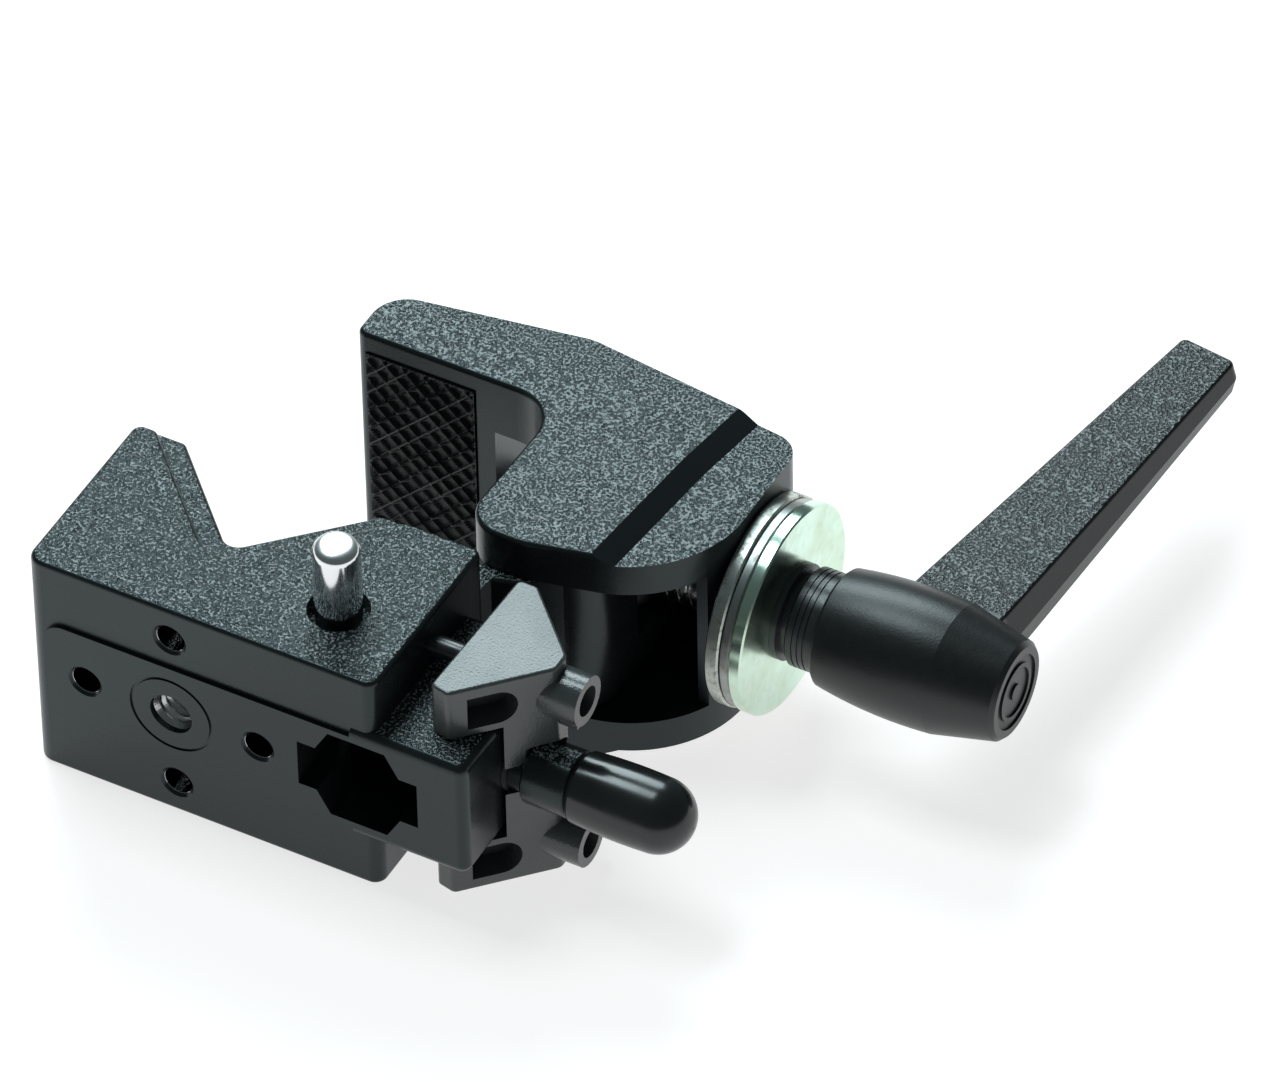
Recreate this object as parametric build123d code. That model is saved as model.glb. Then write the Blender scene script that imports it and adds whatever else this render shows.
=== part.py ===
from build123d import *
import os
from math import atan2, degrees, sqrt

# Super clamp. Millimetres, +Z up.
# Origin: centre of the hexagonal stud socket's mouth, on the front face.
# +X runs along the clamp screw towards its handle, +Y runs from the front face into the jaws.

# Castings: half heights
FULL = 20.3
PLATEAU = 18.6
BAY = 13.0
TAIL = 12.7
SCREW_GAP = 6.4
TONGUE = 10.8
EDGE_R = 0.8

# V jaw block
FRONT = 0.6
LEFT = -54.9
RIGHT = 2.9
BACK = 32.8
V_X = -31.0
V_APEX = 12.3
LEDGE = 3.8
LEDGE_HALF = 18.3
LEDGE_BACK = 34.2
BAND_HALF = 9.1
TONGUE_END = 17.8
TONGUE_BACK = 29.0

# Stud socket, quarter-inch thread and the ring of holes round it
SOCKET_FLATS = 16.2
SOCKET_DEPTH = 26.0
NOTCH = (19.8, 8.4)
INSERT_R = 4.3
THREAD_R = 2.65
RING_R = 14.4
RING_HOLE_R = 2.3
RING_HOLE_DEPTH = 12.0

# Jaw pivot and barrel nut
PIVOT = (11.7, 45.0)
PIN_R = 3.0
BUSH_R = 4.0
NUT = (9.3, 61.0)
NUT_R = 7.0
EAR_R = 9.0
KNUCKLE_R = 5.8

# Body casting
ARM_FACE = 64.8
ARM_LEFT = -36.3
ARM_BACK = 74.4
ARM_WINDOW = (-13.2, 9.8)
BAY_LEFT = -6.0
THROAT = -2.6
BODY_END = 32.4
END_WALL = 28.8
BACK_WALL = 71.8
CREASE = 62.8
FALL = 1.2
PAD = (18.2, 33.2, 4.2)
PAD_X = -25.5
PAD_POCKET = 3.6

# Clamp screw and handle, all on the axis Y = AXIS, Z = 0
AXIS = NUT[1]
SCREW_R = 5.0
SCREW_START = -3.5
WASHER_R = 16.4
WASHER_STACK = (0.06, 2.2, 0.05, 1.6, 0.05, 2.05)
COLLAR_R = 7.7
HUB_START = 45.6
HUB_END = 75.1
HUB_TIP_R = 7.4
LEVER_TIP = 137.6
LEVER_DRAFT = 12.0

# Stud latch pin with its button end
BUTTON = (-9.4, 12.4)
BUTTON_R = 3.55
BUTTON_DOME = 1.7
BUTTON_TOP = 33.4
BUTTON_SHOULDER = 14.7
LATCH_R = 2.3
LATCH_END = -16.0
SPRING_SEAT = 7.2
CLIP_SEAT = -14.5

# Stud lock
LOCK_AXIS = (14.8, 0.0)
YOKE_GAP = 11.1
YOKE_WALL = 18.6
YOKE_HALF = 20.2
TUBE_Y = 17.8
TUBE_Z = 14.3
TUBE_R = 3.9
TUBE_END = 28.3
GUIDE_BORE_R = 2.4
GUIDE_SEAT = 16.5
LOCK_SCREW_R = 3.0
LOCK_TIP = 8.7
BARREL_R = 5.15
BARREL_START = 20.8
BARREL_END = 28.4
BARREL_ROOM = 5.9
NECK_R = 3.9
WEB_NOTCH = 2.6
KNOB_R = 5.75
KNOB_END = 47.0


def rounded(face, corners):
    """Round a plan's corners; each corner is (x, y, radius)."""
    for x, y, radius in corners:
        vertex = face.vertices().sort_by_distance((x, y, 0))[0]
        face = fillet(vertex, radius)
    return face


def slab(face, half):
    """A plan extruded to the same height above and below Z = 0."""
    return extrude(face, amount=half, both=True)


def rod_z(x, y, radius, low, high):
    return Pos(x, y, (low + high) / 2) * Cylinder(radius, high - low)


def rod_x(y, z, radius, low, high):
    return Pos((low + high) / 2, y, z) * Rot(0, 90, 0) * Cylinder(radius, high - low)


def rod_y(x, z, radius, low, high):
    return Pos(x, (low + high) / 2, z) * Rot(90, 0, 0) * Cylinder(radius, high - low)


def block(x0, x1, y0, y1, z0, z1):
    return Pos((x0 + x1) / 2, (y0 + y1) / 2, (z0 + z1) / 2) * Box(x1 - x0, y1 - y0, z1 - z0)


def turned(points, y=AXIS):
    """A solid of revolution about the line Y = y, Z = 0, from (x, radius) points."""
    low, high = points[0][0], points[-1][0]
    outline = [(low, 0), *points, (high, 0)]
    face = make_face(Polyline(*outline, close=True))
    return Pos(0, y, 0) * revolve(face, Axis.X)


def v_outline(apex, back, front, left, right):
    """Plan with a right-angled V cut down from its back edge."""
    reach = back - apex
    points = [
        (left, front),
        (left, back),
        (V_X - reach, back),
        (V_X, apex),
        (V_X + reach, back),
        (right, back),
        (right, front),
    ]
    return make_face(Polyline(*points, close=True))


def jaw_block():
    """The full-height block whose back is cut to a V."""
    plan = v_outline(V_APEX, BACK, FRONT, LEFT, RIGHT)
    reach = BACK - V_APEX
    plan = rounded(
        plan,
        [
            (LEFT, FRONT, 2.5),
            (RIGHT, FRONT, 2.0),
            (LEFT, BACK, 1.6),
            (RIGHT, BACK, 1.4),
            (V_X - reach, BACK, 1.4),
            (V_X + reach, BACK, 4.5),
            (V_X, V_APEX, 5.0),
        ],
    )
    body = slab(plan, FULL)
    return fillet(body.faces().filter_by(Axis.Z).edges(), EDGE_R)


def jaw_ledge():
    """The gripping rib inside the V, proud of the block above and below it."""
    apex = V_APEX + LEDGE * sqrt(2)
    reach = LEDGE_BACK - apex
    plan = v_outline(apex, LEDGE_BACK, 4.0, LEFT + 1.4, RIGHT - 13.0)
    plan = rounded(
        plan,
        [
            (LEFT + 1.4, LEDGE_BACK, 1.8),
            (V_X - reach, LEDGE_BACK, 1.2),
            (V_X + reach, LEDGE_BACK, 1.5),
            (RIGHT - 13.0, LEDGE_BACK, 1.5),
            (V_X, apex, 2.5),
        ],
    )
    body = slab(plan, LEDGE_HALF)
    return fillet(body.faces().filter_by(Axis.Z).edges(), 0.8)


def front_band():
    """The raised band across the front face, running into the socket's tongue."""
    left, right = LEFT + 2.7, RIGHT + 2.0
    face = Rectangle(right - left, 2 * BAND_HALF)
    face = fillet(face.vertices().sort_by(Axis.X)[:2], 3.5)
    band = extrude(face, amount=4.0)
    return Pos((left + right) / 2, 4.0, 0) * Rot(90, 0, 0) * band


def socket_tongue():
    """The thinner tongue that holds the stud socket."""
    body = block(RIGHT - 4, TONGUE_END, 0, TONGUE_BACK, -TONGUE, TONGUE)
    long_edges = body.edges().filter_by(Axis.X)
    end_edges = body.faces().sort_by(Axis.X)[-1].edges()
    return fillet(long_edges + end_edges, 1.6)


def jaw_tail():
    """Neck, knuckle and the two ears that carry the barrel nut."""
    px, py = PIVOT
    nx, ny = NUT
    neck = make_face(
        Polyline(
            (-1.0, BACK - 4),
            (-1.0, BACK + 2.0),
            (px - KNUCKLE_R, py + 1.5),
            (px + 1.0, py - KNUCKLE_R + 0.2),
            (6.6, 36.0),
            (RIGHT, 34.8),
            (RIGHT - 0.8, BACK - 4),
            close=True,
        )
    )
    neck = slab(neck, TAIL)
    front_edges = neck.edges().filter_by(Plane.XY).sort_by_distance((4.75, 35.4, 0))[:2]
    neck = fillet(front_edges, 0.8)
    knuckle = Pos(px, py) * Circle(KNUCKLE_R)
    ear_end = Pos(nx, ny) * Circle(EAR_R)
    ear_plan = make_hull(knuckle.edges() + ear_end.edges())
    solid = neck + slab(knuckle, TAIL) + slab(ear_plan, TAIL)
    gap = block(nx - 20, nx + 20, py + KNUCKLE_R + 0.6, ny + 20, -SCREW_GAP, SCREW_GAP)
    return solid - gap


def stud_socket_cut():
    """Hexagon with flats above and below, widened by a notch on each side."""
    side = SOCKET_FLATS / sqrt(3)
    hexagon = RegularPolygon(side, 6)
    notch = Rectangle(*NOTCH)
    hole = extrude(hexagon + notch, amount=SOCKET_DEPTH)
    return Rot(-90, 0, 0) * hole


def ring_hole(x, z, mouth):
    """One of the four blind holes round the thread, with a chamfered mouth."""
    hole = rod_y(x, z, RING_HOLE_R, mouth, mouth + RING_HOLE_DEPTH)
    cone = Pos(x, mouth + 0.25, z) * Rot(90, 0, 0) * Cone(RING_HOLE_R, RING_HOLE_R + 0.5, 0.5)
    return hole + cone


def button_bore():
    """Stepped vertical bore for the latch pin, its spring and its clip."""
    x, y = BUTTON
    recess = rod_z(x, y, 4.7, FULL - 3.0, FULL + 1)
    upper = rod_z(x, y, BUTTON_R + 0.06, SPRING_SEAT, FULL)
    lower = rod_z(x, y, LATCH_R + 0.06, -FULL, SPRING_SEAT)
    clip_room = rod_z(x, y, 4.4, -FULL - 1, CLIP_SEAT)
    return recess + upper + lower + clip_room


def v_jaw_casting():
    px, py = PIVOT
    nx, ny = NUT
    casting = jaw_block() + jaw_ledge() + front_band() + socket_tongue() + jaw_tail()
    casting -= stud_socket_cut()
    casting -= rod_y(V_X, 0, 3.5, -1, 2) + rod_y(V_X, 0, INSERT_R, 1.0, 14.0)
    groove = rod_y(V_X, 0, 6.9, -0.5, 0.3) - rod_y(V_X, 0, 6.4, -1, 1)
    casting -= groove
    for side in (-1, 1):
        casting -= ring_hole(V_X + side * RING_R, 0, 0)
        casting -= ring_hole(V_X, side * RING_R, FRONT)
        casting -= rod_x(TUBE_Y, side * TUBE_Z, 1.6, RIGHT - 9, RIGHT + 1)
    casting -= button_bore()
    casting -= rod_z(px, py, BUSH_R, -FULL, FULL)
    casting -= rod_z(nx, ny, NUT_R + 0.05, -FULL, FULL)
    casting -= rod_x(*LOCK_AXIS, LOCK_SCREW_R + 0.05, 5.0, TONGUE_END + 1)
    return casting


def thread_insert():
    """Steel insert with the quarter-inch thread, cast into the jaw."""
    shell = rod_y(V_X, 0, INSERT_R, 1.0, 14.0)
    bore = rod_y(V_X, 0, THREAD_R, 0, 13.0)
    mouth = Pos(V_X, 1.25, 0) * Rot(90, 0, 0) * Cone(THREAD_R, THREAD_R + 0.5, 0.5)
    return shell - bore - mouth


def pivot_bushes():
    """Two bushes pressed into the knuckle, one from each end."""
    px, py = PIVOT
    bushes = []
    for low in (-TAIL, 1.7):
        ring = rod_z(px, py, BUSH_R, low, low + 11.0)
        ring -= rod_z(px, py, PIN_R + 0.05, low - 1, low + 12)
        bushes.append(ring)
    return Compound(bushes)


def body_plan():
    """Plan of the fixed body: arm, throat and the rounded end the screw leaves by."""
    straight = Polyline(
        (16.9, 39.0),
        (7.0, 36.7),
        (THROAT - 0.4, 36.8),
        (THROAT + 0.5, ARM_FACE),
        (ARM_LEFT, ARM_FACE),
        (ARM_LEFT, ARM_BACK),
        (-4.5, 79.7),
        (BODY_END, 75.3),
        (BODY_END, 56.0),
    )
    nose = ThreePointArc((BODY_END, 56.0), (27.0, 44.4), (16.9, 39.0))
    plan = make_face(straight + nose)
    return rounded(
        plan,
        [
            (7.0, 36.7, 14.0),
            (THROAT - 0.4, 36.8, 5.5),
            (THROAT + 0.5, ARM_FACE, 7.0),
            (ARM_LEFT, ARM_FACE, 1.4),
            (ARM_LEFT, ARM_BACK, 6.0),
            (-4.5, 79.7, 8.0),
            (BODY_END, 75.3, 4.5),
        ],
    )


def leaned(*points):
    """A prism along the ramp's leaning line, with this outline across it."""
    lean = degrees(atan2(3.7, 37.8))
    outline = make_face(Polyline(*points, close=True))
    prism = extrude(Rot(90, 0, 0) * outline, amount=60, both=True)
    return Pos(17.0, 38.6, 0) * Rot(0, 0, -lean) * prism


def behind_crease(level):
    """The room over a level behind the crease, where the plate falls away."""
    room = block(-60, 60, CREASE, 110, level, level + 6)
    return Pos(0, CREASE, level) * Rot(-FALL, 0, 0) * Pos(0, -CREASE, -level) * room


def plateau_cut():
    """Removes the ramp and the lower plateau, and lets both plates fall behind the crease."""
    over = FULL + 5
    cutter = leaned((0, FULL + 0.4), (0, FULL), (3.4, PLATEAU), (40, PLATEAU), (40, over), (0, over))
    ramp = leaned((-0.8, FULL + 0.4), (5.4, PLATEAU - 1), (40, PLATEAU - 1), (40, over), (-0.8, over))
    cutter += behind_crease(FULL)
    cutter += ramp & behind_crease(PLATEAU)
    return cutter + mirror(cutter, Plane.XY)


def body_casting():
    px, py = PIVOT
    casting = slab(body_plan(), FULL)
    casting = fillet(casting.faces().filter_by(Axis.Z).edges(), EDGE_R)
    casting -= plateau_cut()
    window_left, window_half = ARM_WINDOW
    casting -= block(BAY_LEFT, END_WALL, 20, BACK_WALL, -BAY, BAY)
    casting -= block(window_left, BAY_LEFT + 0.5, 60, 90, -window_half, window_half)
    casting -= block(BAY_LEFT, 8.0, 60, 90, -BAY, BAY)
    casting -= block(END_WALL - 1, 40, 20, 49.5, -BAY, BAY)
    pad_x, pad_z, _ = PAD
    casting -= block(
        PAD_X - pad_x / 2 - 0.2,
        PAD_X + pad_x / 2 + 0.2,
        ARM_FACE - 1,
        ARM_FACE + PAD_POCKET,
        -pad_z / 2 - 0.2,
        pad_z / 2 + 0.2,
    )
    casting -= rod_z(px, py, PIN_R, -FULL - 1, 18.0)
    casting -= rod_z(px, py, 4.9, -FULL - 1, -PLATEAU)
    slot = SlotCenterToCenter(7.0, 2 * SCREW_R + 1.6)
    slot = extrude(Plane.YZ * slot, amount=20, both=True)
    casting -= Pos(BODY_END, AXIS - 0.6, 0) * slot
    return casting


def jaw_pad():
    """Rubber pad in the arm's pocket, its knurled face proud of the rim."""
    pad_x, pad_z, thick = PAD
    back = ARM_FACE + PAD_POCKET
    body = block(
        PAD_X - pad_x / 2, PAD_X + pad_x / 2, back - thick, back, -pad_z / 2, pad_z / 2
    )
    return chamfer(body.faces().sort_by(Axis.Y)[0].edges(), 0.5)


def pivot_pin():
    px, py = PIVOT
    shank = rod_z(px, py, PIN_R, -19.0, 17.8)
    head = rod_z(px, py, 4.7, -FULL + 0.1, -PLATEAU)
    slot = block(px - 6, px + 6, py - 0.6, py + 0.6, -FULL, -FULL + 0.9)
    return shank + head - slot


def barrel_nut():
    nx, ny = NUT
    body = rod_z(nx, ny, NUT_R, -TAIL + 0.1, TAIL - 0.1)
    body = chamfer(body.edges(), 0.5)
    return body - rod_x(AXIS, 0, SCREW_R + 0.05, nx - 10, nx + 10)


def clamp_screw():
    """Threaded rod with a flatted end for the handle."""
    thread = rod_x(AXIS, 0, SCREW_R, SCREW_START, 46.2)
    thread = chamfer(thread.faces().sort_by(Axis.X)[0].edges(), 0.8)
    drive = rod_x(AXIS, 0, SCREW_R, 46.2, 63.0) & block(40, 70, 40, 80, -4.2, 4.2)
    tapped = rod_x(AXIS, 0, 2.5, 50.0, 64.0)
    return thread + drive - tapped


def washer(index):
    """One plain washer of the thrust stack: a gap, then a thickness, three times."""
    low = BODY_END + sum(WASHER_STACK[: 2 * index + 1])
    high = low + WASHER_STACK[2 * index + 1]
    radius = WASHER_R if index != 1 else WASHER_R - 0.3
    disc = rod_x(AXIS, 0, radius, low, high)
    disc = chamfer(disc.edges(), 0.25)
    return disc - rod_x(AXIS, 0, SCREW_R + 0.3, low - 1, high + 1)


def screw_collar():
    """Turned sleeve between the washers and the handle's hub."""
    low = BODY_END + sum(WASHER_STACK) + 0.02
    body = turned(
        [
            (low, COLLAR_R - 0.2),
            (low + 0.9, COLLAR_R - 0.2),
            (low + 0.9, COLLAR_R - 1.3),
            (low + 2.4, COLLAR_R - 1.3),
            (low + 2.4, COLLAR_R - 0.3),
            (low + 2.7, COLLAR_R),
            (HUB_START, COLLAR_R),
        ]
    )
    core = rod_x(AXIS, 0, COLLAR_R - 0.2, low, HUB_START)
    for x in (low + 3.6, low + 4.5, low + 5.4):
        body -= rod_x(AXIS, 0, COLLAR_R + 1, x, x + 0.25) - core
    return body - rod_x(AXIS, 0, SCREW_R, low - 1, HUB_START + 1)


def hub():
    """Barrel-shaped hub that tapers to its end."""
    swell = ThreePointArc((HUB_START + 0.5, 9.15), (55.0, 10.15), (64.8, 10.0))
    rest = Polyline(
        (64.8, 10.0),
        (HUB_END - 0.7, HUB_TIP_R + 0.4),
        (HUB_END, HUB_TIP_R - 0.3),
        (HUB_END, 0),
        (HUB_START, 0),
        (HUB_START, 8.65),
        (HUB_START + 0.5, 9.15),
    )
    return Pos(0, AXIS, 0) * revolve(make_face(swell + rest), Axis.X)


def lever():
    """Flat arm with drafted sides, narrower and thinner towards its tip."""
    plan = make_face(
        Polyline(
            (52.0, AXIS + 3),
            (52.4, AXIS + 8),
            (63.1, LEVER_TIP),
            (73.4, LEVER_TIP - 1.4),
            (69.9, AXIS + 8),
            (69.5, AXIS + 3),
            close=True,
        )
    )
    plan = rounded(plan, [(63.1, LEVER_TIP, 1.6), (73.4, LEVER_TIP - 1.4, 1.8)])
    upper = extrude(plan, amount=8, taper=LEVER_DRAFT)
    arm = upper + mirror(upper, Plane.XY)
    side = make_face(
        Polyline(
            (AXIS, 5.5),
            (LEVER_TIP + 1, 2.8),
            (LEVER_TIP + 1, -2.8),
            (AXIS, -5.5),
            close=True,
        )
    )
    arm = arm & extrude(Plane.YZ * side, amount=100)
    flats = arm.faces().sort_by(Axis.Z)
    return fillet(flats[0].edges() + flats[-1].edges(), 0.6)


def handle_casting():
    handle = hub() + lever()
    bore = rod_x(AXIS, 0, SCREW_R + 0.02, HUB_START - 1, 63.2) & block(40, 70, 40, 80, -4.22, 4.22)
    handle -= bore + rod_x(AXIS, 0, SCREW_R + 0.02, HUB_START - 1, 46.3)
    handle -= rod_x(AXIS, 0, 2.8, 60, 68) + rod_x(AXIS, 0, 4.9, 66.5, HUB_END)
    handle -= rod_x(AXIS, 0, 5.9, HUB_END - 1.6, HUB_END + 1)
    return handle


def handle_screw():
    """Socket-head screw that holds the hub on the clamp screw."""
    shank = rod_x(AXIS, 0, 2.5, 51.0, 66.6)
    head = rod_x(AXIS, 0, 4.3, 66.5, 71.5)
    key = Pos(70.2, AXIS, 0) * Rot(0, 90, 0) * extrude(RegularPolygon(2.3, 6), amount=4)
    return shank + head - key


def end_cap():
    """Pressed-in cap with a plain raised ring and dot."""
    disc = rod_x(AXIS, 0, 5.88, HUB_END - 1.55, HUB_END - 0.35)
    ring = rod_x(AXIS, 0, 4.6, HUB_END - 0.5, HUB_END)
    ring -= rod_x(AXIS, 0, 3.9, HUB_END - 1, HUB_END + 1)
    dot = rod_x(AXIS, 0, 1.3, HUB_END - 0.5, HUB_END)
    stub = rod_x(AXIS, 0, 4.86, HUB_END - 3.0, HUB_END - 1.5)
    return disc + ring + dot + stub


def release_button():
    """Latch pin: domed button end above, thin latch shaft below."""
    x, y = BUTTON
    head = rod_z(x, y, BUTTON_R, BUTTON_SHOULDER, BUTTON_TOP)
    head = fillet(head.edges().sort_by(Axis.Z)[-1], BUTTON_DOME)
    shaft = rod_z(x, y, LATCH_R, LATCH_END, BUTTON_SHOULDER + 1)
    neck = rod_z(x, y, LATCH_R + 1, CLIP_SEAT - 0.95, CLIP_SEAT - 0.15)
    neck -= rod_z(x, y, LATCH_R - 0.5, CLIP_SEAT - 2, CLIP_SEAT + 1)
    return head + shaft - neck


def button_spring():
    x, y = BUTTON
    wire = 0.3
    low, high = SPRING_SEAT + wire + 0.05, BUTTON_SHOULDER - wire - 0.05
    coil = Helix(pitch=(high - low) / 4.5, height=high - low, radius=2.98)
    section = Plane(origin=coil @ 0, z_dir=coil % 0) * Circle(wire)
    return Pos(x, y, low) * sweep(section, path=coil)


def button_clip():
    x, y = BUTTON
    ring = rod_z(x, y, 3.7, CLIP_SEAT - 0.85, CLIP_SEAT - 0.2)
    ring -= rod_z(x, y, LATCH_R - 0.45, CLIP_SEAT - 2, CLIP_SEAT + 1)
    return ring - block(x - 1.4, x + 1.4, y, y + 6, CLIP_SEAT - 2, CLIP_SEAT + 1)


def yoke_slot(side):
    """Pocket in the yoke's slanted face, square at one end and round at the other."""
    window = Pos(-1.5, 0) * Rectangle(4.6, 6.0) + Pos(0.8, 0) * Circle(3.0)
    pocket = extrude(window, amount=4.0, both=True)
    return Pos(17.4, 9.4, side * 15.2) * Rot(0, 0, 45) * Rot(90, 0, 0) * pocket


def lock_yoke():
    """Fork that straddles the tongue; its notched web carries the lock screw's barrel."""
    plan = make_face(
        Polyline(
            (9.7, 5.1),
            (12.9, 4.4),
            (24.2, 16.2),
            (24.2, 19.4),
            (13.6, 30.0),
            (10.4, 30.0),
            close=True,
        )
    )
    plan = rounded(
        plan,
        [
            (9.7, 5.1, 0.9),
            (12.9, 4.4, 1.2),
            (24.2, 16.2, 1.6),
            (24.2, 19.4, 1.6),
            (13.6, 30.0, 1.2),
            (10.4, 30.0, 0.9),
        ],
    )
    yoke = slab(plan, YOKE_HALF)
    yoke = fillet(yoke.faces().filter_by(Axis.Z).edges(), 0.5)
    for side in (-1, 1):
        yoke += rod_x(TUBE_Y, side * TUBE_Z, TUBE_R, YOKE_WALL, TUBE_END)
        middle = side * (TUBE_Z - 3)
        gusset = block(20.0, 27.0, TUBE_Y - 0.9, TUBE_Y + 0.9, middle - 3, middle + 3)
        yoke += gusset & rod_x(TUBE_Y, side * TUBE_Z, TUBE_R + 1.8, YOKE_WALL, 27.0)
        yoke -= yoke_slot(side)
        yoke -= rod_x(TUBE_Y, side * TUBE_Z, 1.7, 5, TUBE_END)
        yoke -= rod_x(TUBE_Y, side * TUBE_Z, GUIDE_BORE_R, GUIDE_SEAT, TUBE_END + 1)
    yoke -= block(5, YOKE_WALL, 0, 40, -YOKE_GAP, YOKE_GAP)
    yoke -= block(YOKE_WALL - 1, 30, 0, LOCK_AXIS[0], -WEB_NOTCH, WEB_NOTCH)
    yoke -= rod_x(*LOCK_AXIS, BARREL_ROOM, BARREL_START, 30)
    return yoke - rod_x(*LOCK_AXIS, NECK_R, YOKE_WALL - 1, 30)


def guide_screws():
    """Two shouldered screws the yoke slides on; their heads sit inside the tubes."""
    screws = []
    for side in (-1, 1):
        z = side * TUBE_Z
        screw = rod_x(TUBE_Y, z, 1.6, RIGHT - 8, 21.0) + rod_x(TUBE_Y, z, 2.3, 20.8, 23.6)
        key = Pos(22.4, TUBE_Y, z) * Rot(0, 90, 0) * extrude(RegularPolygon(1.4, 6), amount=3)
        screws.append(screw - key)
    return Compound(screws)


def lock_barrel():
    """Sleeve round the lock screw, its narrower neck pressed into the yoke's web."""
    sleeve = rod_x(*LOCK_AXIS, BARREL_R, BARREL_START + 0.2, BARREL_END)
    sleeve = chamfer(sleeve.edges().filter_by(GeomType.CIRCLE), 0.4)
    sleeve += rod_x(*LOCK_AXIS, NECK_R, YOKE_WALL, BARREL_START + 1)
    return sleeve - rod_x(*LOCK_AXIS, LOCK_SCREW_R + 0.08, YOKE_WALL - 1, BARREL_END + 1)


def lock_screw():
    rod = rod_x(*LOCK_AXIS, LOCK_SCREW_R, LOCK_TIP, 40.0)
    rod = chamfer(rod.faces().sort_by(Axis.X)[0].edges(), 0.6)
    groove = rod_x(*LOCK_AXIS, 5, TONGUE_END + 0.04, YOKE_WALL - 0.04)
    groove -= rod_x(*LOCK_AXIS, LOCK_SCREW_R - 0.5, 10, 30)
    return rod - groove


def lock_clip():
    """Split ring on the lock screw that draws the yoke outwards with it."""
    ring = rod_x(*LOCK_AXIS, 4.4, TONGUE_END + 0.07, YOKE_WALL - 0.07)
    ring -= rod_x(*LOCK_AXIS, LOCK_SCREW_R - 0.45, 10, 30)
    y, z = LOCK_AXIS
    return ring - block(10, 30, y - 1.6, y + 1.6, z, z + 6)


def lock_knob():
    """Moulded grip with a hemispherical end."""
    dome = KNOB_END - KNOB_R
    side = Polyline((BARREL_END + 0.1, 0), (BARREL_END + 0.1, 5.1), (BARREL_END + 0.7, 5.5))
    swell = ThreePointArc((BARREL_END + 0.7, 5.5), (34.0, KNOB_R + 0.05), (dome, KNOB_R))
    end = ThreePointArc(
        (dome, KNOB_R), (dome + KNOB_R / sqrt(2), KNOB_R / sqrt(2)), (KNOB_END, 0)
    )
    close = Line((KNOB_END, 0), (BARREL_END + 0.1, 0))
    grip = Pos(0, LOCK_AXIS[0], 0) * revolve(make_face(side + swell + end + close), Axis.X)
    return grip - rod_x(*LOCK_AXIS, LOCK_SCREW_R, 20, 40.2)


NODES = {
    "v_jaw_casting": v_jaw_casting(),
    "thread_insert": thread_insert(),
    "pivot_bushes": pivot_bushes(),
    "guide_screws": guide_screws(),
    "body_casting": body_casting(),
    "jaw_pad": jaw_pad(),
    "pivot_pin": pivot_pin(),
    "barrel_nut": barrel_nut(),
    "bearing_washer": washer(0),
    "friction_washer": washer(1),
    "thrust_washer": washer(2),
    "clamp_screw": clamp_screw(),
    "screw_collar": screw_collar(),
    "handle_casting": handle_casting(),
    "handle_screw": handle_screw(),
    "end_cap": end_cap(),
    "release_button": release_button(),
    "button_spring": button_spring(),
    "button_clip": button_clip(),
    "lock_yoke": lock_yoke(),
    "lock_barrel": lock_barrel(),
    "lock_screw": lock_screw(),
    "lock_clip": lock_clip(),
    "lock_knob": lock_knob(),
}

os.makedirs("parts", exist_ok=True)
for name, shape in NODES.items():
    export_step(shape, f"parts/{name}.step")
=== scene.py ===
from math import cos, radians, sin, sqrt, tau

import bmesh
import bpy
from mathutils import Matrix, Vector


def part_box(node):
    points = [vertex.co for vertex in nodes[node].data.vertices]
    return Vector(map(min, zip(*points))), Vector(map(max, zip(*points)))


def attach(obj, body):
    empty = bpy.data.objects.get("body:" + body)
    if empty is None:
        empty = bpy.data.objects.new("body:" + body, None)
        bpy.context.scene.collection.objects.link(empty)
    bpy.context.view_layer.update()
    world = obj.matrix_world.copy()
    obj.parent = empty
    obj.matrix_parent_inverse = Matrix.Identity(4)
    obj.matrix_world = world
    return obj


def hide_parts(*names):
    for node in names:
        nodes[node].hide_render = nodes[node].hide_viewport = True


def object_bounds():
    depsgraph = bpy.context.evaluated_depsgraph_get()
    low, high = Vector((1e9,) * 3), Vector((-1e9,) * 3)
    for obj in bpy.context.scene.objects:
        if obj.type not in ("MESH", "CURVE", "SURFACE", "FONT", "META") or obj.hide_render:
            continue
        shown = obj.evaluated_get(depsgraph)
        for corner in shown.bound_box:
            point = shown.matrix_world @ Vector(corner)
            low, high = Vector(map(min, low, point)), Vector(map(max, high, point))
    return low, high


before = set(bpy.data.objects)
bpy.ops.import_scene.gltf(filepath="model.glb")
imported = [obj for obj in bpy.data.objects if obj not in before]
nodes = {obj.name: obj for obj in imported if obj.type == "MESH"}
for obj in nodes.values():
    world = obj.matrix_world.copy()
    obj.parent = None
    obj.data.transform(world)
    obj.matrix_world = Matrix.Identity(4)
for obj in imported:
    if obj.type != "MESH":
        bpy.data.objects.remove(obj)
cad_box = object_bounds()
MM = 0.001
SCREW_Y = 61 * MM
HUB_RADIUS = 10.2 * MM

# ---------------------------------------------------------------- stage and camera

FLOOR_GAP = 0.02 * MM
FLOOR_GLOW = 0.74
COOL = (0.80, 0.97, 1.0)
AZIMUTH, ELEVATION, ROLL = radians(29.494), radians(43.737), radians(-1.197)
DISTANCE = 1.82708
TARGET = Vector((0.047541, 0, 0.06972))
LENS = 370.0


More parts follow.
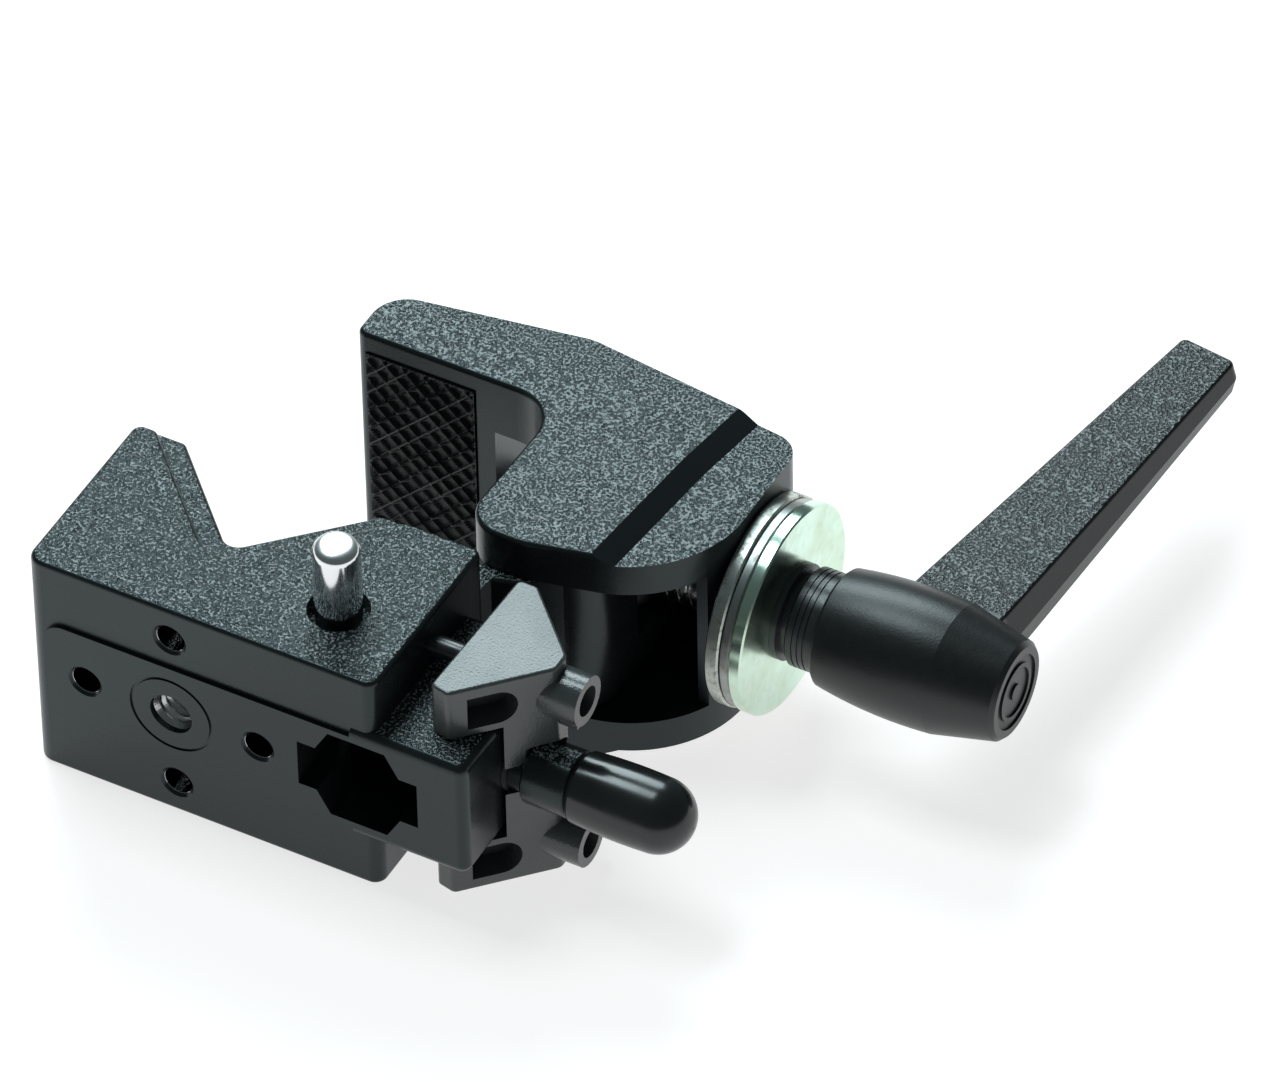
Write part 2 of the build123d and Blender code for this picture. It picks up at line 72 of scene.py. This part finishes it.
def camera():
    """A long lens at the object's viewing angle."""
    back = Vector((sin(AZIMUTH) * cos(ELEVATION), -cos(AZIMUTH) * cos(ELEVATION), sin(ELEVATION)))
    level = Vector((cos(AZIMUTH), sin(AZIMUTH), 0))
    upright = back.cross(level)
    right = cos(ROLL) * level + sin(ROLL) * upright
    up = cos(ROLL) * upright - sin(ROLL) * level
    data = bpy.data.cameras.new("camera")
    data.sensor_width = 36.0
    data.lens = LENS
    data.clip_start = 0.05
    data.clip_end = 20.0
    eye = bpy.data.objects.new("camera", data)
    turn = Matrix((right, up, back)).transposed().to_4x4()
    eye.matrix_world = Matrix.Translation(TARGET + DISTANCE * back) @ turn
    bpy.context.scene.collection.objects.link(eye)
    bpy.context.scene.camera = eye


def softbox(name, towards, distance, size, power):
    """A rectangular area light that faces the middle of the object."""
    low, high = cad_box
    middle = (Vector(low) + Vector(high)) / 2
    direction = Vector(towards).normalized()
    data = bpy.data.lights.new(name, "AREA")
    data.shape = "RECTANGLE"
    data.size, data.size_y = size
    data.energy = power
    data.color = COOL
    lamp = bpy.data.objects.new(name, data)
    lamp.location = middle + distance * direction
    lamp.rotation_euler = direction.to_track_quat("Z", "Y").to_euler()
    bpy.context.scene.collection.objects.link(lamp)


def studio():
    """Dim surroundings, a bright softbox behind on the left, and a smaller one overhead."""
    world = bpy.data.worlds.new("studio")
    world.use_nodes = True
    background = world.node_tree.nodes["Background"]
    background.inputs["Color"].default_value = (*COOL, 1)
    background.inputs["Strength"].default_value = 0.1
    bpy.context.scene.world = world
    softbox("back_softbox", (-0.42, 0.63, 0.69), 0.95, (0.5, 0.4), 5.6)
    softbox("top_softbox", (-0.36, 0.06, 0.93), 1.0, (0.34, 0.3), 3.6)
    bpy.context.scene.view_settings.view_transform = "Standard"


def floor():
    """Plain pale floor under the object."""
    mesh = bpy.data.meshes.new("floor")
    half = 4.0
    z = cad_box[0][2] - FLOOR_GAP
    corners = [(-half, -half, z), (half, -half, z), (half, half, z), (-half, half, z)]
    mesh.from_pydata(corners, [], [(0, 1, 2, 3)])
    plane = bpy.data.objects.new("floor", mesh)
    bpy.context.scene.collection.objects.link(plane)
    shader = Shader("pale_floor")
    shader.set(base=(0.62, 0.56, 0.55), roughness=0.6, specular=0.2)
    shader.set(emission_color=(1.0, 1.0, 1.0, 1.0), emission_strength=FLOOR_GLOW)
    plane.data.materials.append(shader.material)


# ---------------------------------------------------------------- material helpers


class Shader:
    """A material with one Principled shader and short calls for its nodes."""

    def __init__(self, name):
        self.material = bpy.data.materials.new(name)
        self.material.use_nodes = True
        self.tree = self.material.node_tree
        self.surface = self.tree.nodes["Principled BSDF"]

    def node(self, kind, **settings):
        made = self.tree.nodes.new(kind)
        for key, value in settings.items():
            setattr(made, key, value)
        return made

    def feed(self, socket, value):
        """Link a socket to another socket, or give it a plain value."""
        if isinstance(value, bpy.types.NodeSocket):
            self.tree.links.new(value, socket)
        else:
            socket.default_value = value

    def set(self, base=None, metallic=None, roughness=None, specular=None, **more):
        names = {
            "Base Color": base if base is None or not isinstance(base, tuple) else (*base, 1),
            "Metallic": metallic,
            "Roughness": roughness,
            "Specular IOR Level": specular,
        }
        names.update({key.replace("_", " ").title(): value for key, value in more.items()})
        for name, value in names.items():
            if value is not None:
                self.feed(self.surface.inputs[name], value)

    def place(self):
        """The point in the row frame, which rides with the piece."""
        return self.node("ShaderNodeTexCoord").outputs["Object"]

    def facing(self):
        """The piece's own surface direction, as three numbers."""
        normal = self.node("ShaderNodeTexCoord").outputs["Normal"]
        split = self.node("ShaderNodeSeparateXYZ")
        self.feed(split.inputs[0], normal)
        return split.outputs

    def axes(self, place=None):
        split = self.node("ShaderNodeSeparateXYZ")
        self.feed(split.inputs[0], place or self.place())
        return split.outputs

    def noise(self, grain, detail=2.0, roughness=0.5, place=None):
        """Soft noise whose features are about grain metres across."""
        made = self.node("ShaderNodeTexNoise")
        self.feed(made.inputs["Vector"], place or self.place())
        made.inputs["Scale"].default_value = 1 / (2 * grain)
        made.inputs["Detail"].default_value = detail
        made.inputs["Roughness"].default_value = roughness
        return made.outputs["Fac"]

    def cells(self, grain, place=None):
        """Distance to the nearest point of a random scatter, grain metres apart."""
        made = self.node("ShaderNodeTexVoronoi")
        self.feed(made.inputs["Vector"], place or self.place())
        made.inputs["Scale"].default_value = 1 / grain
        return made.outputs["Distance"]

    def math(self, operation, a, b=None, clamp=False):
        made = self.node("ShaderNodeMath", operation=operation, use_clamp=clamp)
        self.feed(made.inputs[0], a)
        if b is not None:
            self.feed(made.inputs[1], b)
        return made.outputs[0]

    def ramp(self, value, low, high, to_low=0.0, to_high=1.0, smooth=True):
        """Map value from low..high to to_low..to_high."""
        kind = "SMOOTHSTEP" if smooth else "LINEAR"
        made = self.node("ShaderNodeMapRange", interpolation_type=kind)
        for index, number in enumerate((value, low, high, to_low, to_high)):
            self.feed(made.inputs[index], number)
        return made.outputs[0]

    def blend(self, share, first, second):
        made = self.node("ShaderNodeMix", data_type="RGBA")
        self.feed(made.inputs["Factor"], share)
        for name, colour in (("A", first), ("B", second)):
            sockets = [s for s in made.inputs if s.name == name and s.type == "RGBA"]
            self.feed(sockets[0], (*colour, 1) if isinstance(colour, tuple) else colour)
        return [s for s in made.outputs if s.type == "RGBA"][0]

    def bump(self, height, depth, strength=1.0, under=None):
        """Relief of the given depth in metres, over another relief if there is one."""
        made = self.node("ShaderNodeBump")
        self.feed(made.inputs["Height"], height)
        self.feed(made.inputs["Strength"], strength)
        made.inputs["Distance"].default_value = depth
        if under is not None:
            self.feed(made.inputs["Normal"], under)
        return made.outputs["Normal"]


# ---------------------------------------------------------------- materials


def coat_relief(s, level, grain=0.2 * MM, depth=0.3 * MM):
    """Cast and powder-coated texture, strong on the level faces and faint on upright ones."""
    peel = s.noise(grain, detail=1.0, roughness=0.5)
    swell = s.noise(3 * grain, detail=1.0)
    height = s.math("ADD", peel, s.math("MULTIPLY", swell, 0.4))
    return peel, s.bump(height, depth, strength=s.ramp(level, 0.0, 1.0, 0.06, 1.0))


def level_share(s, outer):
    """1 on level faces that lie further than outer from the middle plane, and 0 elsewhere."""
    level = s.ramp(s.math("ABSOLUTE", s.facing()["Z"]), 0.91, 0.98)
    height = s.math("ABSOLUTE", s.axes()["Z"])
    return s.math("MULTIPLY", level, s.ramp(height, outer - 0.3 * MM, outer))


def bore_mask(s, centres, radius):
    """1 inside plain round bores along Y, at (x, z) centres."""
    axis = s.axes()
    mask = None
    for x, z in centres:
        dx = s.math("SUBTRACT", axis["X"], x)
        dz = s.math("SUBTRACT", axis["Z"], z)
        square = s.math("ADD", s.math("MULTIPLY", dx, dx), s.math("MULTIPLY", dz, dz))
        inside = s.ramp(square, (radius * 1.03) ** 2, (radius * 1.01) ** 2)
        mask = inside if mask is None else s.math("MAXIMUM", mask, inside)
    return mask


def powder_coat(name, outer, bores=(), sparse=0.5):
    """Fine textured black powder coat, with light grey painted glints on its level faces, fewer the
    higher sparse is.

    Bores along Y are bare machined metal.
    """
    s = Shader(name)
    level = level_share(s, outer)
    height, normal = coat_relief(s, level)
    wear = s.noise(9 * MM, detail=4.0)
    # Painted highlight: light grey specks on the grain's peaks, on level faces only, standing in for
    # glints of light; upright faces get none.
    painted_glints = s.math("MULTIPLY", s.ramp(height, sparse, sparse + 0.07), level)
    dark = s.blend(wear, (0.008, 0.0095, 0.0105), (0.013, 0.0155, 0.017))
    colour = s.blend(painted_glints, dark, (0.36, 0.38, 0.385))
    roughness = s.ramp(wear, 0.3, 0.7, 0.24, 0.31)
    if bores:
        mask = bore_mask(s, *bores)
        colour = s.blend(mask, colour, (0.55, 0.56, 0.56))
        roughness = s.math("SUBTRACT", roughness, s.math("MULTIPLY", mask, 0.2))
        s.set(metallic=mask)
    s.set(base=colour, roughness=roughness, specular=0.4, specular_tint=(*COOL, 1))
    s.feed(s.surface.inputs["Normal"], normal)
    return s.material


def handle_coat():
    """Satin on the turned hub, textured on the lever, with light grey painted glints on the lever's
    level faces.
    """
    s = Shader("handle_coat")
    arm = s.ramp(s.axes()["Y"], SCREW_Y + 0.78 * HUB_RADIUS, SCREW_Y + 0.88 * HUB_RADIUS)
    level = s.math("MULTIPLY", level_share(s, 1 * MM), arm)
    height, coat = coat_relief(s, level)
    scuffs = s.noise(0.9 * MM, detail=5.0, roughness=0.7)
    normal = s.bump(scuffs, 0.03 * MM, strength=0.35, under=coat)
    # Painted highlight: light grey specks on the grain's peaks, on the lever's level faces only,
    # standing in for glints of light.
    painted_glints = s.math("MULTIPLY", s.ramp(height, 0.53, 0.6), level)
    dark = s.blend(scuffs, (0.007, 0.008, 0.0085), (0.014, 0.016, 0.017))
    flank = s.math("SUBTRACT", arm, level, clamp=True)
    s.set(base=s.blend(painted_glints, dark, (0.30, 0.32, 0.325)), specular=s.ramp(flank, 0.0, 1.0, 0.5, 0.2))
    s.set(roughness=s.math("ADD", s.ramp(arm, 0, 1, 0.32, 0.3), s.math("MULTIPLY", scuffs, 0.1)))
    s.feed(s.surface.inputs["Normal"], normal)
    return s.material


def smooth_coat(name="yoke_coat"):
    """Smoother, slightly lighter coat with a very fine grain."""
    s = Shader(name)
    grain = s.noise(0.18 * MM, detail=1.5)
    cloud = s.noise(5 * MM, detail=3.0)
    s.set(base=s.blend(cloud, (0.045, 0.05, 0.052), (0.08, 0.088, 0.09)), specular=0.6)
    s.set(roughness=s.ramp(cloud, 0.3, 0.7, 0.22, 0.3))
    s.feed(s.surface.inputs["Normal"], s.bump(grain, 0.05 * MM, strength=0.8))
    return s.material


def black_oxide():
    s = Shader("black_oxide")
    film = s.noise(1.2 * MM, detail=5.0, roughness=0.65)
    fine = s.noise(0.12 * MM, detail=2.0)
    s.set(base=s.blend(film, (0.012, 0.014, 0.016), (0.035, 0.038, 0.042)), specular=0.6)
    s.set(roughness=s.ramp(film, 0.3, 0.7, 0.24, 0.4))
    s.feed(s.surface.inputs["Normal"], s.bump(fine, 0.01 * MM, strength=0.4))
    return s.material


def moulded_black(name, grain_depth=0.015 * MM, rough=(0.17, 0.27)):
    """Black plastic with a faint moulded grain."""
    s = Shader(name)
    grain = s.noise(0.25 * MM, detail=3.0)
    cloud = s.noise(6 * MM, detail=3.0)
    s.set(base=s.blend(cloud, (0.010, 0.011, 0.012), (0.018, 0.020, 0.021)), specular=0.5)
    s.set(roughness=s.ramp(cloud, 0.3, 0.7, *rough))
    s.feed(s.surface.inputs["Normal"], s.bump(grain, grain_depth, strength=0.5))
    return s.material


def machined_steel(name="machined_steel", tint=(0.60, 0.61, 0.61), rough=(0.2, 0.36)):
    s = Shader(name)
    film = s.noise(2.5 * MM, detail=5.0, roughness=0.6)
    fine = s.noise(0.1 * MM, detail=3.0)
    dull = tuple(0.72 * c for c in tint)
    s.set(base=s.blend(film, dull, tint), metallic=1.0, roughness=s.ramp(film, 0.3, 0.7, *rough))
    s.feed(s.surface.inputs["Normal"], s.bump(fine, 0.008 * MM, strength=0.5))
    return s.material


def turned_lines(s, centre_y, pitch):
    """Fine circular tool marks round an axis along X."""
    axis = s.axes()
    dy = s.math("SUBTRACT", axis["Y"], centre_y)
    square = s.math("ADD", s.math("MULTIPLY", dy, dy), s.math("MULTIPLY", axis["Z"], axis["Z"]))
    radius = s.math("SQRT", square)
    wave = s.math("SINE", s.math("MULTIPLY", radius, tau / pitch))
    return s.math("MULTIPLY", s.math("ADD", wave, 1.0), 0.5)


def zinc(name, tint, second, rough, grime):
    """Zinc plate with a faint iridescent stain and circular tool marks."""
    s = Shader(name)
    rings = turned_lines(s, SCREW_Y, 0.35 * MM)
    stain = s.noise(5 * MM, detail=4.0, roughness=0.6)
    spots = s.ramp(s.noise(0.8 * MM, detail=4.0, roughness=0.7), 0.45, 0.7)
    colour = s.blend(s.ramp(stain, 0.35, 0.65), tint, second)
    worn = s.math("MULTIPLY", spots, grime)
    colour = s.blend(worn, colour, (0.22, 0.20, 0.16))
    s.set(base=colour, metallic=1.0)
    s.set(roughness=s.math("ADD", s.ramp(stain, 0.3, 0.7, *rough), s.math("MULTIPLY", worn, 0.3)))
    s.feed(s.surface.inputs["Normal"], s.bump(rings, 0.004 * MM, strength=0.35))
    return s.material


def chrome():
    s = Shader("polished_chrome")
    smudge = s.noise(1.8 * MM, detail=4.0)
    s.set(base=s.blend(smudge, (0.76, 0.77, 0.78), (0.86, 0.87, 0.88)), metallic=1.0)
    dome = s.ramp(s.math("ABSOLUTE", s.facing()["Z"]), 0.5, 0.9)
    s.set(roughness=s.math("ADD", s.ramp(smudge, 0.3, 0.7, 0.1, 0.16), s.math("MULTIPLY", dome, 0.24)))
    return s.material


def bronze():
    s = Shader("sintered_bronze")
    pores = s.ramp(s.cells(0.5 * MM), 0.05, 0.3)
    cloud = s.noise(2 * MM, detail=3.0)
    s.set(base=s.blend(cloud, (0.36, 0.23, 0.11), (0.52, 0.35, 0.18)), metallic=1.0)
    s.set(roughness=s.ramp(cloud, 0.3, 0.7, 0.35, 0.5))
    s.feed(s.surface.inputs["Normal"], s.bump(pores, 0.02 * MM, strength=0.4))
    return s.material


def rubber():
    s = Shader("pad_rubber")
    dust = s.noise(1.5 * MM, detail=5.0, roughness=0.7)
    fine = s.noise(0.15 * MM, detail=3.0)
    s.set(base=s.blend(dust, (0.004, 0.005, 0.0055), (0.010, 0.012, 0.013)), specular=0.3)
    s.set(roughness=s.ramp(dust, 0.3, 0.7, 0.32, 0.45))
    s.feed(s.surface.inputs["Normal"], s.bump(fine, 0.02 * MM, strength=0.5))
    return s.material


# ---------------------------------------------------------------- pieces


def new_piece(name, build):
    """A mesh object made by build(bmesh)."""
    shape = bmesh.new()
    build(shape)
    bmesh.ops.recalc_face_normals(shape, faces=shape.faces)
    mesh = bpy.data.meshes.new(name)
    shape.to_mesh(mesh)
    shape.free()
    piece = bpy.data.objects.new(name, mesh)
    bpy.context.scene.collection.objects.link(piece)
    return piece


def join_rings(shape, rings, closed_ring=True):
    """Quads between neighbouring rings of vertices."""
    for first, second in zip(rings, rings[1:]):
        count = len(first)
        for i in range(count if closed_ring else count - 1):
            j = (i + 1) % count
            shape.faces.new((first[i], first[j], second[j], second[i]))


def thread_depth(turn):
    """Depth of a 60 degree thread across one turn, 0 at the crest and 1 at the root."""
    share = turn % 1.0
    slope = abs(share - 0.5) * 2
    return min(max((slope - 0.12) / 0.7, 0.0), 1.0)


def threaded_surface(
    shape, start, end, radius, depth, pitch, centre, axis, around=48, across=10, taper=0.0
):
    """Rings of vertices along an axis, in and out with the thread."""
    steps = int(round((end - start) / pitch * across))
    rings = []
    for k in range(steps + 1):
        s = start + (end - start) * k / steps
        run_out = min((s - start) / taper, (end - s) / taper, 1.0) if taper else 1.0
        ring = []
        for i in range(around):
            angle = tau * i / around
            bite = depth * run_out * thread_depth(s / pitch - i / around)
            r = radius - bite
            across_1, across_2 = r * cos(angle), r * sin(angle)
            if axis == "X":
                point = (s, centre[0] + across_1, centre[1] + across_2)
            else:
                point = (centre[0] + across_1, s, centre[1] - across_2)
            ring.append(shape.verts.new(point))
        rings.append(ring)
    join_rings(shape, rings)
    return rings


def plain_ring(shape, position, radius, centre, axis, around=48):
    ring = []
    for i in range(around):
        angle = tau * i / around
        across_1, across_2 = radius * cos(angle), radius * sin(angle)
        if axis == "X":
            point = (position, centre[0] + across_1, centre[1] + across_2)
        else:
            point = (centre[0] + across_1, position, centre[1] - across_2)
        ring.append(shape.verts.new(point))
    return ring


SCREW_PITCH = 2.0 * MM


def threaded_rod():
    """Clamp screw with its real thread, closed by a plain chamfered end."""
    low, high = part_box("clamp_screw")
    centre = ((low.y + high.y) / 2, (low.z + high.z) / 2)
    radius = (high.y - low.y) / 2
    depth = 0.55 * SCREW_PITCH
    thread_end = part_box("screw_collar")[0].x + 1 * MM

    def build(shape):
        start = low.x + 0.8 * MM
        rings = threaded_surface(
            shape, start, thread_end, radius, depth, SCREW_PITCH, centre, "X", taper=SCREW_PITCH
        )
        tip = plain_ring(shape, low.x, radius - 0.9 * MM, centre, "X")
        tail = plain_ring(shape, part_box("handle_screw")[0].x - 1 * MM, radius, centre, "X")
        join_rings(shape, [tip, rings[0]])
        join_rings(shape, [rings[-1], tail])
        shape.faces.new(tip)
        shape.faces.new(tail)

    piece = new_piece("clamp_screw_threaded", build)
    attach(piece, "handle")
    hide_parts("clamp_screw")
    return piece


def tapped_insert():
    """Steel insert with its internal quarter-inch thread."""
    low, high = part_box("thread_insert")
    centre = ((low.x + high.x) / 2, (low.z + high.z) / 2)
    outer = (high.x - low.x) / 2
    bore, deep = 2.65 * MM, 0.53 * MM
    pitch = 25.4 * MM / 20

    def build(shape):
        mouth = low.y + 0.9 * MM
        rings = threaded_surface(
            shape, mouth, high.y - 1.2 * MM, bore + deep, deep, pitch, centre, "Y", taper=0.6 * pitch
        )
        lip = plain_ring(shape, low.y, bore + deep + 0.6 * MM, centre, "Y")
        rim = plain_ring(shape, low.y, outer, centre, "Y")
        back = plain_ring(shape, high.y, outer, centre, "Y")
        join_rings(shape, [back, rim, lip, rings[0]])
        shape.faces.new(rings[-1])
        shape.faces.new(back)

    piece = new_piece("thread_insert_tapped", build)
    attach(piece, "v_jaw")
    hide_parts("thread_insert")
    return piece


KNURL_PITCH = 2.45 * MM
KNURL_DEPTH = 0.8 * MM


def knurled_pad():
    """Rubber pad whose face is a grid of ribs set at 45 degrees."""
    low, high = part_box("jaw_pad")
    step = KNURL_PITCH / 8
    rim = 0.5 * MM

    def height(x, z):
        u = ((x + z) / sqrt(2) / KNURL_PITCH) % 1.0
        v = ((x - z) / sqrt(2) / KNURL_PITCH) % 1.0
        rib = 1 - 2 * min(abs(u - 0.5), abs(v - 0.5))
        edge = min(x - low.x, high.x - x, z - low.z, high.z - z)
        fade = min(max(edge / rim, 0.0), 1.0)
        return KNURL_DEPTH * (1 - rib ** 3) * fade + 0.5 * rim * (1 - fade)

    def build(shape):
        wide = int(round((high.x - low.x) / step))
        tall = int(round((high.z - low.z) / step))
        rows = []
        for j in range(tall + 1):
            z = low.z + (high.z - low.z) * j / tall
            row = []
            for i in range(wide + 1):
                x = low.x + (high.x - low.x) * i / wide
                row.append(shape.verts.new((x, low.y + height(x, z), z)))
            rows.append(row)
        join_rings(shape, rows, closed_ring=False)
        near, far = rows[0][:-1], rows[-1][:0:-1]
        border = near + [r[-1] for r in rows[:-1]] + far + [r[0] for r in rows[:0:-1]]
        base = [shape.verts.new((v.co.x, high.y, v.co.z)) for v in border]
        join_rings(shape, [border, base])
        shape.faces.new(base)

    piece = new_piece("jaw_pad_knurled", build)
    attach(piece, "body")
    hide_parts("jaw_pad")
    return piece


def paint(material, *pieces):
    """Give each named CAD node, or each made piece, one material."""
    for piece in pieces:
        shown = nodes[piece] if isinstance(piece, str) else piece
        shown.data.materials.clear()
        shown.data.materials.append(material)


THREAD_X, HOLE_SPREAD, HOLE_RADIUS = -31.0 * MM, 14.4 * MM, 2.3 * MM
RING_HOLES = [
    (THREAD_X + HOLE_SPREAD, 0),
    (THREAD_X - HOLE_SPREAD, 0),
    (THREAD_X, HOLE_SPREAD),
    (THREAD_X, -HOLE_SPREAD),
]

paint(powder_coat("jaw_coat", 10.6 * MM, (RING_HOLES, HOLE_RADIUS), sparse=0.55), "v_jaw_casting")
paint(powder_coat("body_coat", 17 * MM, sparse=0.51), "body_casting")
paint(powder_coat("barrel_coat", 3 * MM), "lock_barrel")
paint(handle_coat(), "handle_casting")
paint(smooth_coat(), "lock_yoke")
paint(black_oxide(), "guide_screws", "handle_screw", "button_clip", "lock_clip", "screw_collar")
paint(machined_steel(), "barrel_nut", "pivot_pin", "lock_screw", threaded_rod(), tapped_insert())
paint(machined_steel("spring_steel", (0.42, 0.43, 0.45), (0.25, 0.35)), "button_spring")
paint(chrome(), "release_button")
paint(bronze(), "pivot_bushes")
paint(zinc("bright_zinc", (0.66, 0.86, 0.74), (0.60, 0.76, 0.60), (0.16, 0.26), 0.1), "thrust_washer")
paint(zinc("dull_zinc", (0.62, 0.66, 0.62), (0.50, 0.54, 0.50), (0.26, 0.4), 0.8), "bearing_washer")
paint(zinc("dark_zinc", (0.45, 0.47, 0.46), (0.33, 0.34, 0.33), (0.28, 0.4), 0.5), "friction_washer")
paint(moulded_black("grip_plastic"), "lock_knob")
paint(moulded_black("cap_plastic", rough=(0.38, 0.5)), "end_cap")
paint(rubber(), knurled_pad())

camera()
studio()
floor()

bpy.context.view_layer.update()
